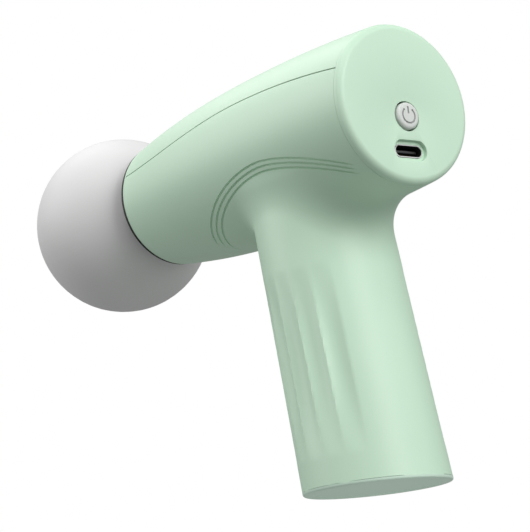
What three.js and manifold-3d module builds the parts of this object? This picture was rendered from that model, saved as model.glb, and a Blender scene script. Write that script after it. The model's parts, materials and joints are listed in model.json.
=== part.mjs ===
// Handheld massage gun with a ball head. Millimetres, +Z up, +X towards the ball.
// The origin is the centre of the handle's flat base, and XZ is the plane of symmetry.
import * as THREE from 'three';
import { mergeVertices } from 'three/addons/utils/BufferGeometryUtils.js';
import Module from 'manifold-3d';

const wasm = await Module();
wasm.setup();

// Overall layout
const barrelHeight = 94.5;
const rearFaceX = -28.3;
const noseX = 75.4;
const ballCentreX = 102.8;
const ballRadius = 25.9;
const wall = 2.2;
const gap = 0.3;
const roundness = 40;

// Barrel: a gently bulged round body, fullest at bulgeX
const bulgeX = 11.7;
const bulgeRadius = 22.8;
const rearFall = 0.001;
const noseFall = 2.2e-4;
const nosePower = 2.4;

// Handle: a raked, nearly straight round grip with a fillet behind it, up to the barrel's underside
const rake = THREE.MathUtils.degToRad(7.91);
const baseRadius = 19.3;
const topRadius = 17.65;
const handleTop = 84;
const filletTop = 72.4;
const filletRadius = 7;

// Covers
const capBand = 2.3;
const capRim = 1.9;
const lipDepth = 4;
const ringWidth = 0.9;
const ringSpigot = 5;
const sealSetBack = 3.1;
const sealDepth = 2.4;
const sealSleeve = 1;
const sealFlange = { radius: 17.6, start: 0.12, end: 0.65 };
const noseBore = 14.5;
const baseCapHeight = 0.9;
const baseEdge = 0.5;
const baseLip = 2.5;
const seamMiddle = 11.2;
const seamRearDrop = 0.0018;
const seamFrontDrop = 4.6;
const seamMiddleX = 14.7;
const seamFrontX = 72.7;

// Controls on the rear face
const buttonDrop = 3.5;
const buttonHole = 3.85;
const buttonRadius = 3.5;
const buttonProud = 0.8;
const buttonEdge = 0.55;
const buttonFlange = { radius: 4.9, depth: 0.65 };
const usbDrop = 12.5;
const usbRecess = { width: 10.7, height: 5.4, depth: 1.1 };
const usbShell = { width: 8.94, height: 3.26, wall: 0.3 };
const boardX = -22.2;
const boardThickness = 1.6;
const boardRadius = 17.6;
const bossOffset = 12;
const bossRise = 6;
const boss = { radius: 2.4, pilot: 1.05, clearance: 1.1, screw: 0.75, screwHead: 1.8 };

// Drive: the crank turns about Y over the handle and a yoke carries the stroke to the piston
const motorX = 2;
const crankThrow = 3;
const yokeSlack = 0.75;
const rollerRadius = 3.2;
const pinRadius = 1.5;
const shaftRadius = 1;
const canRadius = 12;
const yokeHalfThickness = 2.2;
const rodRadius = 5;
const socketRadius = 6.5;
const socketBore = 4.6;
const socketX = 52;
const pistonFrontX = 71;
const rearBlockX = 24;
const frontBlockX = 56;
const blockLength = 8;

// Battery: three cells side by side along the handle's axis
const cellRadius = 7;
const cellLength = 49;
const cellStart = 8.5;
const cellSpacing = 14.4;

const finishes = {
  shell: { color: 0xc3e1c8, roughness: 0.55, metalness: 0 },
  cap: { color: 0xb9d6be, roughness: 0.55, metalness: 0 },
  ball: { color: 0xe2e2e0, roughness: 0.6, metalness: 0 },
  button: { color: 0xcacfc9, roughness: 0.4, metalness: 0 },
  black: { color: 0x161616, roughness: 0.8, metalness: 0 },
  frame: { color: 0x3c4044, roughness: 0.6, metalness: 0 },
  steel: { color: 0xb4b8bc, roughness: 0.3, metalness: 1 },
  aluminium: { color: 0xc8cacc, roughness: 0.35, metalness: 1 },
  copper: { color: 0xb8662c, roughness: 0.35, metalness: 1 },
  brass: { color: 0xc8a24a, roughness: 0.35, metalness: 1 },
  board: { color: 0x1d5a35, roughness: 0.5, metalness: 0 },
  cell: { color: 0x3a6ea8, roughness: 0.45, metalness: 0 },
  red: { color: 0xa81f1f, roughness: 0.6, metalness: 0 },
  foam: { color: 0x55585a, roughness: 0.95, metalness: 0 },
};

const gun = new THREE.Group();

// ---- Helpers -------------------------------------------------------------

function addPart(name, geometry, finish, parent = gun) {
  const mesh = new THREE.Mesh(geometry, new THREE.MeshStandardMaterial(finishes[finish]));
  mesh.name = name;
  parent.add(mesh);
  return mesh;
}

function toSolid(geometry) {
  const bare = geometry.clone();
  bare.deleteAttribute('normal');
  bare.deleteAttribute('uv');
  const merged = mergeVertices(bare, 1e-4);
  const triangles = [];
  for (let i = 0; i < merged.index.count; i += 3) {
    const [a, b, c] = [0, 1, 2].map((k) => merged.index.getX(i + k));
    if (a !== b && b !== c && c !== a) {
      triangles.push(a, b, c);
    }
  }
  return new wasm.Manifold(new wasm.Mesh({
    numProp: 3,
    vertProperties: new Float32Array(merged.attributes.position.array),
    triVerts: new Uint32Array(triangles),
  }));
}

function toGeometry(solid) {
  const mesh = solid.getMesh();
  const geometry = new THREE.BufferGeometry();
  geometry.setAttribute('position', new THREE.BufferAttribute(new Float32Array(mesh.vertProperties), 3));
  geometry.setIndex(new THREE.BufferAttribute(new Uint32Array(mesh.triVerts), 1));
  geometry.computeVertexNormals();
  return geometry;
}

// base with every geometry of `added` joined to it and every one of `removed` cut from it
function carve(base, removed, added = []) {
  let solid = toSolid(base);
  for (const geometry of added) {
    solid = solid.add(toSolid(geometry));
  }
  for (const geometry of removed) {
    solid = solid.subtract(toSolid(geometry));
  }
  return toGeometry(solid);
}

// A closed profile of [radius, distance] pairs turned about its axis, listed either way round
function turned(profile, segments) {
  const points = profile.map(([r, d]) => new THREE.Vector2(r, d));
  if (THREE.ShapeUtils.area(points) < 0) {
    points.reverse();
  }
  return new THREE.LatheGeometry(points, segments);
}

function turnedX(profile, segments = roundness, z = barrelHeight) {
  return turned(profile, segments).rotateZ(-Math.PI / 2).translate(0, 0, z);
}

function turnedY(profile, x, z, segments = 32) {
  return turned(profile, segments).translate(x, 0, z);
}

function turnedZ(profile, segments = roundness) {
  return turned(profile, segments).rotateX(Math.PI / 2);
}

function ring(inner, outer, start, end) {
  return [[inner, start], [outer, start], [outer, end], [inner, end], [inner, start]];
}

function rod(radius, start, end) {
  return [[0, start], [radius, start], [radius, end], [0, end]];
}

function box(x, y, z) {
  const size = [x, y, z].map(([low, high]) => high - low);
  const middle = [x, y, z].map(([low, high]) => (low + high) / 2);
  return new THREE.BoxGeometry(...size).translate(...middle);
}

// A slot with round ends, width along Y and height along Z, from x = start to end
function slotX(width, height, start, end, z) {
  const shape = new THREE.Shape();
  const r = height / 2;
  const straight = width / 2 - r;
  shape.absarc(straight, 0, r, -Math.PI / 2, Math.PI / 2, false);
  shape.absarc(-straight, 0, r, Math.PI / 2, 1.5 * Math.PI, false);
  const options = { depth: end - start, bevelEnabled: false, curveSegments: 8 };
  const geometry = new THREE.ExtrudeGeometry(shape, options);
  return geometry.rotateX(Math.PI / 2).rotateZ(Math.PI / 2).translate(start, 0, z);
}

function along(points, radius, sides = 8) {
  const curve = new THREE.CatmullRomCurve3(points.map((p) => new THREE.Vector3(...p)));
  const shape = new THREE.Shape();
  shape.absarc(0, 0, radius, 0, 2 * Math.PI, false);
  return new THREE.ExtrudeGeometry(shape, { steps: 20, curveSegments: sides / 2, extrudePath: curve });
}

// ---- Housing -------------------------------------------------------------

function barrelRadius(x) {
  const t = x - bulgeX;
  if (t < 0) {
    return bulgeRadius - rearFall * t * t;
  }
  return bulgeRadius - noseFall * t ** nosePower;
}

function handleRadius(z) {
  return baseRadius + (topRadius - baseRadius) * z / barrelHeight;
}

// How far the back of the handle swings out to meet the barrel
function backFillet(z) {
  const below = Math.min(filletRadius, Math.max(0, filletTop - z));
  return filletRadius - Math.sqrt(filletRadius ** 2 - (filletRadius - below) ** 2);
}

function steps(start, end, count) {
  return Array.from({ length: count + 1 }, (_, i) => start + (end - start) * i / count);
}

function barrelCore(start, end, inset) {
  const side = steps(start, end, 9).map((x) => [barrelRadius(x) - inset, x]);
  return turnedX([[0, start], ...side, [0, end]]);
}

function handleCore(start, end, inset) {
  const heights = [start, 24, 46, ...steps(filletTop - filletRadius, filletTop, 6), end];
  const side = heights.map((z) => [handleRadius(z) - inset, z]);
  const core = turnedZ([[0, start], ...side, [0, end]]);
  const place = core.getAttribute('position');
  for (let i = 0; i < place.count; i += 1) {
    const [x, y, z] = [place.getX(i), place.getY(i), place.getZ(i)];
    const backward = Math.max(0, -x) / (handleRadius(z) - inset);
    const grow = 1 + backFillet(z) * backward / Math.max(0.001, Math.hypot(x, y));
    place.setXYZ(i, x * grow, y * grow, z);
  }
  const shear = new THREE.Matrix4().makeShear(0, 0, 0, 0, Math.tan(rake), 0);
  return core.applyMatrix4(shear);
}

function seamHeight(x) {
  if (x < seamMiddleX) {
    return seamMiddle - seamRearDrop * (x - seamMiddleX) ** 2;
  }
  const t = Math.min(1, (x - seamMiddleX) / (seamFrontX - seamMiddleX));
  return seamMiddle - seamFrontDrop * (0.5 - 0.5 * Math.cos(Math.PI * t));
}

// Everything above the seam between the main housing and the top cover
function aboveSeam(offset) {
  const front = noseX - ringWidth + 1;
  const back = rearFaceX - 1;
  const line = steps(back, front, 16).map((x) => new THREE.Vector2(x, barrelHeight + seamHeight(x) + offset));
  const top = barrelHeight + 30;
  const shape = new THREE.Shape([...line, new THREE.Vector2(front, top), new THREE.Vector2(back, top)]);
  const block = new THREE.ExtrudeGeometry(shape, { depth: 60, bevelEnabled: false });
  return block.rotateX(Math.PI / 2).translate(0, 30, 0);
}

const shellStart = rearFaceX + capBand + gap;
const shellEnd = noseX - ringWidth - gap;

function mainHousing() {
  const barrel = barrelCore(shellStart, shellEnd, 0);
  const handle = handleCore(baseCapHeight + gap, handleTop, 0);
  const barrelHollow = barrelCore(shellStart - 1, shellEnd + 1, wall);
  const handleHollow = handleCore(baseCapHeight - 1, handleTop + 1, wall);
  return carve(barrel, [barrelHollow, handleHollow, aboveSeam(-gap / 2)], [handle]);
}

function topCover() {
  const barrel = toSolid(barrelCore(shellStart, shellEnd, 0));
  const hollow = toSolid(barrelCore(shellStart - 1, shellEnd + 1, wall));
  const upper = toSolid(aboveSeam(gap / 2));
  return toGeometry(barrel.subtract(hollow).intersect(upper));
}

addPart('main_housing', mainHousing(), 'shell');
addPart('top_cover', topCover(), 'shell');

// ---- Rear cap, with the button's hole and the charging recess -------------

const buttonHeight = barrelHeight - buttonDrop;
const usbHeight = barrelHeight - usbDrop;

function arcPoints(centreR, centreX, radius, from, to, count) {
  return steps(from, to, count).map((a) => [centreR + radius * Math.cos(a), centreX + radius * Math.sin(a)]);
}

// A round piece on one of the two screw bosses beside the board
function atBoss(side, profile, segments) {
  return turnedX(profile, segments, barrelHeight + bossRise).translate(0, side * bossOffset, 0);
}

function rearCap() {
  const bandEnd = rearFaceX + capBand;
  const outer = barrelRadius(rearFaceX + capRim);
  const rim = arcPoints(outer - capRim, rearFaceX + capRim, capRim, -Math.PI / 2, 0, 6);
  const lip = barrelRadius(bandEnd + lipDepth) - wall - gap;
  const inside = lip - 1.4;
  const floor = rearFaceX + wall;
  const profile = [
    [0, rearFaceX], ...rim, [barrelRadius(bandEnd), bandEnd], [lip, bandEnd],
    [lip, bandEnd + lipDepth], [inside, bandEnd + lipDepth], [inside, floor], [0, floor],
  ];
  const hole = turnedX(rod(buttonHole, rearFaceX - 1, floor + 1), 32, buttonHeight);
  const recessFloor = rearFaceX + usbRecess.depth;
  const recess = slotX(usbRecess.width, usbRecess.height, rearFaceX - 1, recessFloor, usbHeight);
  const opening = slotX(usbShell.width + 2 * gap, usbShell.height + 2 * gap, rearFaceX, floor + 1, usbHeight);
  const bosses = [-1, 1].map((side) => atBoss(side, rod(boss.radius, floor - 0.5, boardX - gap), 20));
  const pilots = [-1, 1].map((side) => atBoss(side, rod(boss.pilot, floor + 0.4, boardX), 16));
  return carve(turnedX(profile), [hole, recess, opening, ...pilots], bosses);
}

addPart('rear_cap', rearCap(), 'shell');

// ---- Nose ring, dust seal and base cap -------------------------------------

function noseRing() {
  const back = noseX - ringWidth;
  const outer = barrelRadius(back);
  const spigot = barrelRadius(back) - wall - gap;
  const spigotEnd = back - ringSpigot;
  const bevel = 0.6;
  return turnedX([
    [noseBore, spigotEnd], [spigot, spigotEnd], [spigot, back], [outer, back],
    [outer, noseX - bevel], [outer - bevel, noseX], [noseBore + 0.4, noseX],
    [noseBore, noseX - 0.4], [noseBore, spigotEnd],
  ]);
}

function dustSeal() {
  const outer = noseBore - gap;
  const inner = socketRadius + gap;
  const front = noseX - sealSetBack;
  const back = front - sealDepth;
  const flangeStart = noseX + sealFlange.start;
  const flangeEnd = noseX + sealFlange.end;
  return turnedX([
    [inner, front - 0.9], [9, front - 1.7], [11.5, front - 0.7], [outer - sealSleeve, front],
    [outer - sealSleeve, flangeEnd], [sealFlange.radius, flangeEnd], [sealFlange.radius, flangeStart],
    [outer, flangeStart], [outer, back], [11.5, back + 0.2], [9, back - 0.8], [inner, back],
    [inner, front - 0.9],
  ], 40);
}

function baseCap() {
  const edge = baseEdge;
  const top = baseCapHeight;
  const spigotTop = top + baseLip;
  const spigot = handleRadius(spigotTop) - wall - gap - 0.1;
  const profile = [
    [0, 0], [baseRadius - edge, 0], [baseRadius, edge], [handleRadius(top), top], [spigot, top],
    [spigot, spigotTop], [spigot - 1.2, spigotTop], [spigot - 1.2, wall], [0, wall],
  ];
  const shear = new THREE.Matrix4().makeShear(0, 0, 0, 0, Math.tan(rake), 0);
  return turnedZ(profile).applyMatrix4(shear);
}

addPart('nose_ring', noseRing(), 'shell');
addPart('dust_seal', dustSeal(), 'black');
addPart('handle_base_cap', baseCap(), 'cap');

// ---- Massage head ----------------------------------------------------------

const ballWall = 2;
const ballOpening = 8.3;
const stemRadius = 4.3;
const stemStartX = 55;
const grooveX = 60;
const grooveWidth = 2.2;
const grooveRadius = 3.2;

// Points of an arc on a sphere about the ball's centre, from one polar radius to another
function ballArc(radius, fromR, toR, count) {
  return steps(Math.asin(fromR / radius), Math.asin(toR / radius), count).map((a) => [
    radius * Math.sin(a), ballCentreX - radius * Math.cos(a),
  ]);
}

function massageBall() {
  const inner = ballRadius - ballWall;
  const outside = steps(Math.asin(ballOpening / ballRadius), Math.PI, 14)
    .map((a) => [Math.abs(ballRadius * Math.sin(a)), ballCentreX - ballRadius * Math.cos(a)]);
  const inside = steps(Math.PI, Math.asin(ballOpening / inner), 8)
    .map((a) => [Math.abs(inner * Math.sin(a)), ballCentreX - inner * Math.cos(a)]);
  outside[outside.length - 1][0] = 0;
  inside[0][0] = 0;
  return toGeometry(toSolid(turnedX([...outside, ...inside, outside[0]])));
}

function ballCore() {
  const plug = ballOpening - gap;
  const dishOuter = ballRadius - ballWall - 0.8;
  const dishInner = dishOuter - 2;
  const plugBack = ballCentreX - Math.sqrt(ballRadius ** 2 - plug ** 2);
  return turnedX([
    [0, stemStartX], [stemRadius - 0.8, stemStartX], [stemRadius, stemStartX + 0.8],
    [stemRadius, grooveX], [grooveRadius, grooveX], [grooveRadius, grooveX + grooveWidth],
    [stemRadius, grooveX + grooveWidth], [stemRadius, plugBack], [plug, plugBack],
    ...ballArc(dishOuter, plug, 15, 3), ...ballArc(dishInner, 14, 3, 3),
    [0, ballCentreX - dishInner],
  ], 28);
}

function oRing() {
  return turnedX(ring(grooveRadius + gap, socketBore - 0.15, grooveX + gap, grooveX + grooveWidth - gap), 32);
}

addPart('massage_ball', massageBall(), 'ball');
addPart('ball_core', ballCore(), 'frame');
addPart('stem_o_ring', oRing(), 'black');

// ---- Piston, yoke and crank --------------------------------------------------

const weightRadius = 11.4;
const yokeHalfWidth = rollerRadius + yokeSlack + 3.2;
const yokeFrontX = motorX + weightRadius + crankThrow + 0.6;
const neckHalfHeight = 4.5;
const stubLength = 6;
const stubRadius = 3;
const crossPinX = yokeFrontX + gap + 3;
const crossPinRadius = 1;

function pistonRod() {
  const start = yokeFrontX + gap;
  const bore = stubRadius + gap;
  const profile = [
    [bore, start], [rodRadius, start], [rodRadius, socketX - 3], [socketRadius, socketX - 1],
    [socketRadius, pistonFrontX], [socketBore, pistonFrontX], [socketBore, socketX], [0, socketX],
    [0, start + stubLength], [bore, start + stubLength], [bore, start],
  ];
  const pinHole = turnedZ(rod(crossPinRadius + gap, -7, 7), 16).translate(crossPinX, 0, barrelHeight);
  return carve(turnedX(profile, 32), [pinHole]);
}

function yoke() {
  const slotHalfWidth = rollerRadius + yokeSlack;
  const slotHalfHeight = crankThrow + rollerRadius + 0.7;
  const plate = box(
    [motorX - yokeHalfWidth, motorX + yokeHalfWidth],
    [-yokeHalfThickness, yokeHalfThickness],
    [barrelHeight - slotHalfHeight - 3, barrelHeight + slotHalfHeight + 3],
  );
  const neck = box(
    [motorX + yokeHalfWidth - 1, yokeFrontX],
    [-yokeHalfThickness, yokeHalfThickness],
    [barrelHeight - neckHalfHeight, barrelHeight + neckHalfHeight],
  );
  const stub = turnedX(rod(stubRadius, yokeFrontX - 0.2, yokeFrontX + stubLength), 24);
  const slot = box(
    [motorX - slotHalfWidth, motorX + slotHalfWidth],
    [-10, 10],
    [barrelHeight - slotHalfHeight, barrelHeight + slotHalfHeight],
  );
  const pinHole = turnedZ(rod(crossPinRadius + gap, -7, 7), 16).translate(crossPinX, 0, barrelHeight);
  return carve(plate, [slot, pinHole], [neck, stub]);
}

const crankBack = -5;
const crankFront = -2.7;

function crankDisc() {
  const weight = new THREE.Shape();
  weight.moveTo(-7, 0);
  weight.absarc(0, 0, weightRadius, Math.PI + 0.35, 2 * Math.PI - 0.35, false);
  weight.lineTo(7, 0);
  const options = { depth: crankFront - crankBack, bevelEnabled: false, curveSegments: 16 };
  const slab = new THREE.ExtrudeGeometry(weight, options);
  slab.rotateX(Math.PI / 2).translate(motorX, crankFront, barrelHeight);
  const disc = turnedY(rod(7, crankBack, crankFront), motorX, barrelHeight);
  const shaftHole = turnedY(rod(shaftRadius + gap, -8, 0), motorX, barrelHeight, 16);
  const pinHole = turnedY(rod(pinRadius + gap, -8, 0), motorX, barrelHeight + crankThrow, 16);
  return carve(disc, [shaftHole, pinHole], [slab]);
}

addPart('piston_rod', pistonRod(), 'aluminium');
addPart('yoke', yoke(), 'frame');
const crossPin = turnedZ(rod(crossPinRadius, -4.6, 4.6), 16).translate(crossPinX, 0, barrelHeight);
addPart('rod_cross_pin', crossPin, 'steel');
addPart('crank_disc', crankDisc(), 'steel');
const crankPinZ = barrelHeight + crankThrow;
addPart('crank_pin', turnedY(rod(pinRadius, crankBack + 0.4, 2.6), motorX, crankPinZ, 16), 'steel');
const roller = turnedY(ring(pinRadius + gap, rollerRadius, -2, 2), motorX, crankPinZ, 24);
addPart('crank_roller', roller, 'brass');

// ---- Motor: a flat outer-rotor motor lying across the barrel -------------------

const canOpenY = -14.6;
const canFaceY = -5.4;
const flangeBackY = -15.7;
const flangeFrontY = -14.9;
const tubeEndY = -7.2;
const statorStartY = -12.9;
const statorEndY = -8.7;
const statorHub = 4.3;
const statorRadius = 9.2;
const toothCount = 9;
const motorScrewCircle = 6;

function rotorCan() {
  const face = canFaceY - 1.1;
  const inner = canRadius - 1.1;
  return turnedY([
    [shaftRadius + gap, canFaceY], [shaftRadius + gap, face], [inner, face], [inner, canOpenY],
    [canRadius, canOpenY], [canRadius, canFaceY - 0.5], [canRadius - 0.5, canFaceY],
    [shaftRadius + gap, canFaceY],
  ], motorX, barrelHeight, 40);
}

function toothOutline(grow) {
  const shape = new THREE.Shape();
  const pitch = 2 * Math.PI / toothCount;
  const neck = 0.85 + grow;
  const hub = statorHub + 1.4 + grow;
  const shoe = statorRadius - 1.1 - grow;
  const tip = statorRadius + grow;
  const halfTip = pitch / 2 - (0.55 - grow) / statorRadius;
  for (let i = 0; i < toothCount; i += 1) {
    const middle = i * pitch;
    const corners = [
      [hub, -Math.asin(neck / hub)], [shoe, -Math.asin(neck / shoe)], [shoe, -halfTip], [tip, -halfTip],
      [tip, -halfTip / 3], [tip, halfTip / 3],
      [tip, halfTip], [shoe, halfTip], [shoe, Math.asin(neck / shoe)], [hub, Math.asin(neck / hub)],
    ];
    for (const [r, a] of corners) {
      const x = r * Math.cos(middle + a);
      const y = r * Math.sin(middle + a);
      if (i === 0 && shape.curves.length === 0 && shape.currentPoint.lengthSq() === 0) {
        shape.moveTo(x, y);
      } else {
        shape.lineTo(x, y);
      }
    }
  }
  return shape;
}

function extrudedY(shape, start, end) {
  const block = new THREE.ExtrudeGeometry(shape, { depth: end - start, bevelEnabled: false });
  return block.rotateX(Math.PI / 2).translate(motorX, end, barrelHeight);
}

function statorCore() {
  const bore = turnedY(rod(statorHub, -20, 0), motorX, barrelHeight, 24);
  return carve(extrudedY(toothOutline(0), statorStartY, statorEndY), [bore]);
}

function windings() {
  const overhang = 0.9;
  const start = statorStartY - overhang;
  const end = statorEndY + overhang;
  const copper = ring(statorHub + 1.4 + gap, statorRadius - 1.2 - gap, start, end);
  const body = turnedY(copper, motorX, barrelHeight, 36);
  return carve(body, [extrudedY(toothOutline(gap), statorStartY - gap, statorEndY + gap)]);
}

function motorScrewAngles() {
  return [0, 1, 2].map((i) => i * 2 * Math.PI / 3);
}

function motorScrewPlace(angle, radius = motorScrewCircle) {
  return [motorX + radius * Math.cos(angle), barrelHeight + radius * Math.sin(angle)];
}

function motorBase() {
  const tube = [
    [3.1, tubeEndY], [3.1, flangeBackY], [10.6, flangeBackY], [10.6, flangeFrontY],
    [4, flangeFrontY], [4, tubeEndY], [3.1, tubeEndY],
  ];
  const holes = motorScrewAngles().map((a) => turnedY(rod(1.15, -20, -13), ...motorScrewPlace(a), 12));
  return carve(turnedY(tube, motorX, barrelHeight, 32), holes);
}

addPart('motor_shaft', turnedY(rod(shaftRadius, -14.6, -2.9), motorX, barrelHeight, 16), 'steel');
addPart('rotor_can', rotorCan(), 'steel');
const magnets = ring(9.6, canRadius - 1.1 - gap, -13.8, -7.2);
addPart('magnet_ring', turnedY(magnets, motorX, barrelHeight, 40), 'frame');
addPart('stator_core', statorCore(), 'steel');
addPart('stator_windings', windings(), 'copper');
addPart('motor_base', motorBase(), 'aluminium');
for (const [name, start] of [['motor_bearing_outer', -14.4], ['motor_bearing_inner', -9.4]]) {
  addPart(name, turnedY(ring(shaftRadius + gap, 2.8, start, start + 2), motorX, barrelHeight, 20), 'steel');
}

// ---- Drive frame, bushings and dampers -----------------------------------------

const plateStartX = -8;
const plateHalfHeight = 8.5;
const plateBackY = -17.5;
const plateFrontY = -16;
const rearBlockRadius = 18;
const frontBlockRadius = 15.6;
const ribReach = 13.5;

function driveFrame() {
  const plateZ = [barrelHeight - plateHalfHeight, barrelHeight + plateHalfHeight];
  const plate = box([plateStartX, rearBlockX + 1], [plateBackY, plateFrontY], plateZ);
  const rearBlock = turnedX(rod(rearBlockRadius, rearBlockX, rearBlockX + blockLength), 40);
  const frontBlock = turnedX(rod(frontBlockRadius, frontBlockX, frontBlockX + blockLength), 40);
  const ribs = [-1, 1].map((side) => box(
    [rearBlockX + 1, frontBlockX + 1],
    [-3, 3],
    [barrelHeight + side * ribReach - 1.5, barrelHeight + side * ribReach + 1.5],
  ));
  const bores = [
    turnedX(rod(8.3, rearBlockX - 1, rearBlockX + blockLength + 1), 32),
    turnedX(rod(9.8, frontBlockX - 1, frontBlockX + blockLength + 1), 32),
  ];
  const holes = motorScrewAngles().map((a) => turnedY(rod(1.15, -20, -13), ...motorScrewPlace(a), 12));
  const hub = turnedY(rod(3.4, -20, -13), motorX, barrelHeight, 16);
  return carve(plate, [...bores, ...holes, hub], [rearBlock, frontBlock, ...ribs]);
}

function screwY(angle) {
  const [x, z] = motorScrewPlace(angle);
  const profile = [
    [0, -18.7], [1.3, -18.7], [1.6, -18.4], [1.6, plateBackY - gap], [0.85, plateBackY - gap],
    [0.85, flangeBackY + 0.6], [0, flangeBackY + 0.6],
  ];
  return turnedY(profile, x, z, 12);
}

function blockDamper(start, inner, outer) {
  return turnedX(ring(inner, outer, start + 1, start + blockLength - 1), 40);
}

addPart('drive_frame', driveFrame(), 'frame');
function bushing(inner, outer, start) {
  return turnedX(ring(inner + gap, outer, start, start + blockLength), 32);
}

addPart('rear_bushing', bushing(rodRadius, 8, rearBlockX), 'brass');
addPart('front_bushing', bushing(socketRadius, 9.5, frontBlockX), 'brass');
addPart('rear_damper', blockDamper(rearBlockX, rearBlockRadius + gap, 20), 'black');
addPart('front_damper', blockDamper(frontBlockX, frontBlockRadius + gap, 17.4), 'black');
motorScrewAngles().forEach((angle, i) => addPart(`motor_screw_${i + 1}`, screwY(angle), 'steel'));

// ---- Control board, button and charging socket -----------------------------------

const boardFront = boardX + boardThickness;
const partFace = boardFront + gap;

function controlBoard() {
  const disc = turnedX(rod(boardRadius, boardX, boardFront), 40);
  const hole = rod(boss.clearance, boardX - 1, boardFront + 1);
  return carve(disc, [-1, 1].map((side) => atBoss(side, hole, 12)));
}

function powerButton() {
  const face = rearFaceX - buttonProud;
  const back = rearFaceX + wall + 1;
  return turnedX([
    [0, face], ...arcPoints(buttonRadius - buttonEdge, face + buttonEdge, buttonEdge, -Math.PI / 2, 0, 4),
    [buttonRadius, back - buttonFlange.depth], [buttonFlange.radius, back - buttonFlange.depth],
    [buttonFlange.radius, back], [0, back],
  ], 40, buttonHeight);
}

const plungerStart = rearFaceX + wall + 1.3;

function tactSwitch() {
  const body = box([plungerStart + 0.7, boardX - gap], [-3, 3], [buttonHeight - 3, buttonHeight + 3]);
  return carve(body, [turnedX(rod(1.8, plungerStart, plungerStart + 1.9), 20, buttonHeight)]);
}

function usbReceptacle() {
  const front = rearFaceX + usbRecess.depth - 0.1;
  const back = boardX - gap;
  const outer = slotX(usbShell.width, usbShell.height, front, back, usbHeight);
  const inner = slotX(
    usbShell.width - 2 * usbShell.wall,
    usbShell.height - 2 * usbShell.wall,
    front - 1,
    back - usbShell.wall,
    usbHeight,
  );
  return carve(outer, [inner]);
}

function boardScrew(side) {
  const profile = [
    [0, rearFaceX + wall + 1], [boss.screw, rearFaceX + wall + 1], [boss.screw, partFace],
    [boss.screwHead, partFace], [boss.screwHead, partFace + 0.9], [boss.screwHead - 0.3, partFace + 1.2],
    [0, partFace + 1.2],
  ];
  return atBoss(side, profile, 12);
}

addPart('control_board', controlBoard(), 'board');
addPart('power_button', powerButton(), 'button');
addPart('tact_plunger', turnedX(rod(1.5, plungerStart, plungerStart + 1.2), 16, buttonHeight), 'black');
addPart('tact_switch', tactSwitch(), 'frame');
addPart('usb_shell', usbReceptacle(), 'steel');
const tongueX = [rearFaceX + 2, boardX - 2 * gap - 0.3];
const tongue = box(tongueX, [-3.3, 3.3], [usbHeight - 0.35, usbHeight + 0.35]);
addPart('usb_tongue', tongue, 'black');
addPart('board_screw_left', boardScrew(1), 'steel');
addPart('board_screw_right', boardScrew(-1), 'steel');

// A block on the board's inner side: its thickness, its middle across Y, its width, and its reach in Z
function boardBlock(thickness, y, width, low, high) {
  const across = [y - width / 2, y + width / 2];
  return box([partFace, partFace + thickness], across, [barrelHeight + low, barrelHeight + high]);
}

addPart('controller_chip', boardBlock(0.9, 0, 5, -3, 2), 'black');
[-5.5, 0, 5.5].forEach((y, i) => addPart(`mosfet_${i + 1}`, boardBlock(1.1, y, 4, 6, 9.5), 'black'));
addPart('smoothing_capacitor', turnedX(rod(3, partFace, partFace + 7), 24, barrelHeight + 13), 'aluminium');
addPart('battery_connector', boardBlock(5, 0, 7, -14.5, -9.5), 'cap');

// ---- Battery in the handle, along its raked axis ------------------------------------

const grip = new THREE.Group();
grip.rotation.y = rake;
gun.add(grip);

const cellEnd = cellStart + cellLength;
const stripThickness = 0.3;
const holderThickness = 2.5;
const holderRadius = 15.3;
const lowerHolderRadius = 13.9;

function cellProfile() {
  return [
    [0, cellStart], [cellRadius - 0.6, cellStart], [cellRadius, cellStart + 0.6],
    [cellRadius, cellEnd - 1.2], [cellRadius - 0.8, cellEnd - 0.6], [2.8, cellEnd - 0.6], [2.8, cellEnd],
    [0, cellEnd],
  ];
}

function cellPlace(i) {
  const angle = Math.PI + i * 2 * Math.PI / 3;
  const reach = cellSpacing / Math.sqrt(3);
  return [reach * Math.cos(angle), reach * Math.sin(angle)];
}

for (let i = 0; i < 3; i += 1) {
  const [x, y] = cellPlace(i);
  addPart(`battery_cell_${i + 1}`, turnedZ(cellProfile(), 24).translate(x, y, 0), 'cell', grip);
}

function holder(start, radius) {
  return turnedZ(ring(3, radius, start, start + holderThickness), 32);
}

const lowerHolderStart = cellStart - 2 * gap - stripThickness - holderThickness;
const lowerStripStart = cellStart - gap - stripThickness;
const upperStripStart = cellEnd + gap;
addPart('cell_holder_lower', holder(lowerHolderStart, lowerHolderRadius), 'frame', grip);
addPart('cell_holder_upper', holder(cellEnd + 2 * gap + stripThickness, holderRadius), 'frame', grip);
for (const [name, start] of [['cell_strip_lower', lowerStripStart], ['cell_strip_upper', upperStripStart]]) {
  addPart(name, turnedZ(rod(11, start, start + stripThickness), 24), 'steel', grip);
}
const foamStart = cellEnd + 3 * gap + stripThickness + holderThickness;
addPart('battery_foam_pad', turnedZ(ring(6, 13, foamStart, foamStart + 3), 24), 'foam', grip);

// ---- Leads -----------------------------------------------------------------------

function batteryLead(y) {
  const leadTop = partFace + 5.3;
  return along([
    [leadTop, y, barrelHeight - 12],
    [leadTop + 3.5, y, barrelHeight - 14],
    [-6, y, barrelHeight - 17],
    [3, y, barrelHeight - 20.5],
    [7.6, y, barrelHeight - 27],
    [8.3, y, foamStart - 0.2],
  ], 0.65);
}

addPart('battery_lead_red', batteryLead(1.4), 'red');
addPart('battery_lead_black', batteryLead(-1.4), 'black');
addPart('motor_lead', along([
  [partFace + 0.3, -9, barrelHeight + 1],
  [-18, -10.5, barrelHeight + 1],
  [-14, -14, barrelHeight],
  [-11.8, -15.5, barrelHeight],
  [-9.6, -15.8, barrelHeight],
], 0.8), 'frame');

export default gun;
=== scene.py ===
import json
import math

import bpy
import numpy as np
from mathutils import Matrix, Vector


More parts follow.
